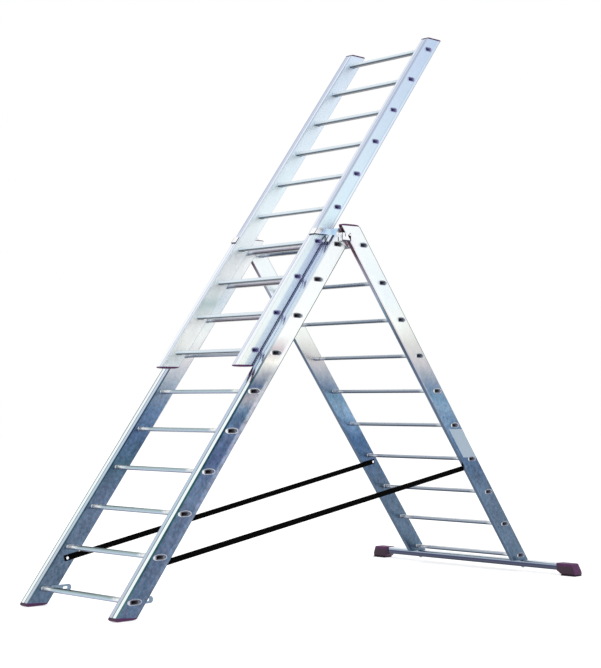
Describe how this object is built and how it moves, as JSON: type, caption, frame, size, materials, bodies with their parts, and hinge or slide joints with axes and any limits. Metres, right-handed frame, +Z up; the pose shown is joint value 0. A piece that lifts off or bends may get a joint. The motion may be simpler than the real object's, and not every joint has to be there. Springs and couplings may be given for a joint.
{
  "type": "extension ladder",
  "caption": "Folding aluminium combination ladder standing as an A-frame, with a sliding extension above the hinge, a rear crossbar stabiliser and webbing straps.",
  "frame": {"origin": "centre of the footprint, on the floor", "axes": "+X across the rungs to the climber's right, -Y the side of the front section, +Y the rear section, +Z up"},
  "size_m": [1.608, 3.1156, 3.1555],
  "materials": {
    "aluminium_extrusion": "bright mill-finish extrusion with fine lengthwise draw lines",
    "aluminium_tube": "bright drawn tube, flared and swaged at the ends",
    "bright_steel": "bright zinc-plated pressed steel",
    "purple_plastic": "moulded burgundy purple plastic, black under the rear feet",
    "black_webbing": "woven black webbing"
  },
  "bodies": {
    "front_section": {"front_stile_left": "aluminium_extrusion", "front_stile_right": "aluminium_extrusion", "front_rung_01": "aluminium_tube", "front_rung_02": "aluminium_tube", "front_rung_03": "aluminium_tube", "front_rung_04": "aluminium_tube", "front_rung_05": "aluminium_tube", "front_rung_06": "aluminium_tube", "front_rung_07": "aluminium_tube", "front_rung_08": "aluminium_tube", "front_rung_09": "aluminium_tube", "front_rung_10": "aluminium_tube", "front_foot_left": "purple_plastic", "front_foot_right": "purple_plastic", "front_top_cap_left": "purple_plastic", "front_top_cap_right": "purple_plastic", "guide_bracket_left": "bright_steel", "guide_bracket_right": "bright_steel", "hinge_pin_left": "bright_steel", "hinge_pin_right": "bright_steel", "fold_catch_left": "bright_steel", "fold_catch_right": "bright_steel", "strap_left": "black_webbing", "strap_right": "black_webbing"},
    "extension_section": {"extension_stile_left": "aluminium_extrusion", "extension_stile_right": "aluminium_extrusion", "extension_rung_01": "aluminium_tube", "extension_rung_02": "aluminium_tube", "extension_rung_03": "aluminium_tube", "extension_rung_04": "aluminium_tube", "extension_rung_05": "aluminium_tube", "extension_rung_06": "aluminium_tube", "extension_rung_07": "aluminium_tube", "extension_rung_08": "aluminium_tube", "extension_rung_09": "aluminium_tube", "extension_rung_10": "aluminium_tube", "extension_foot_left": "purple_plastic", "extension_foot_right": "purple_plastic", "extension_top_cap_left": "purple_plastic", "extension_top_cap_right": "purple_plastic"},
    "rear_section": {"rear_stile_left": "aluminium_extrusion", "rear_stile_right": "aluminium_extrusion", "rear_rung_01": "aluminium_tube", "rear_rung_02": "aluminium_tube", "rear_rung_03": "aluminium_tube", "rear_rung_04": "aluminium_tube", "rear_rung_05": "aluminium_tube", "rear_rung_06": "aluminium_tube", "rear_rung_07": "aluminium_tube", "rear_rung_08": "aluminium_tube", "rear_rung_09": "aluminium_tube", "rear_rung_10": "aluminium_tube", "rear_top_cap_left": "purple_plastic", "rear_top_cap_right": "purple_plastic", "hinge_plate_left": "bright_steel", "hinge_plate_right": "bright_steel", "stabiliser_bar": "aluminium_extrusion", "stabiliser_foot_left": "purple_plastic", "stabiliser_foot_right": "purple_plastic"}
  },
  "joints": [
    {"name": "rear_fold", "type": "hinge", "parent": "front_section", "child": "rear_section", "pos_m": [0, 0.00364, 1.90508], "axis": [1, 0, 0], "range_deg": [-74, 0], "deforming": ["strap_left", "strap_right"]},
    {"name": "extension_slide", "type": "slide", "parent": "front_section", "child": "extension_section", "axis": [0, 0.6074, 0.7944], "range_m": [-1.25, 0]}
  ]
}
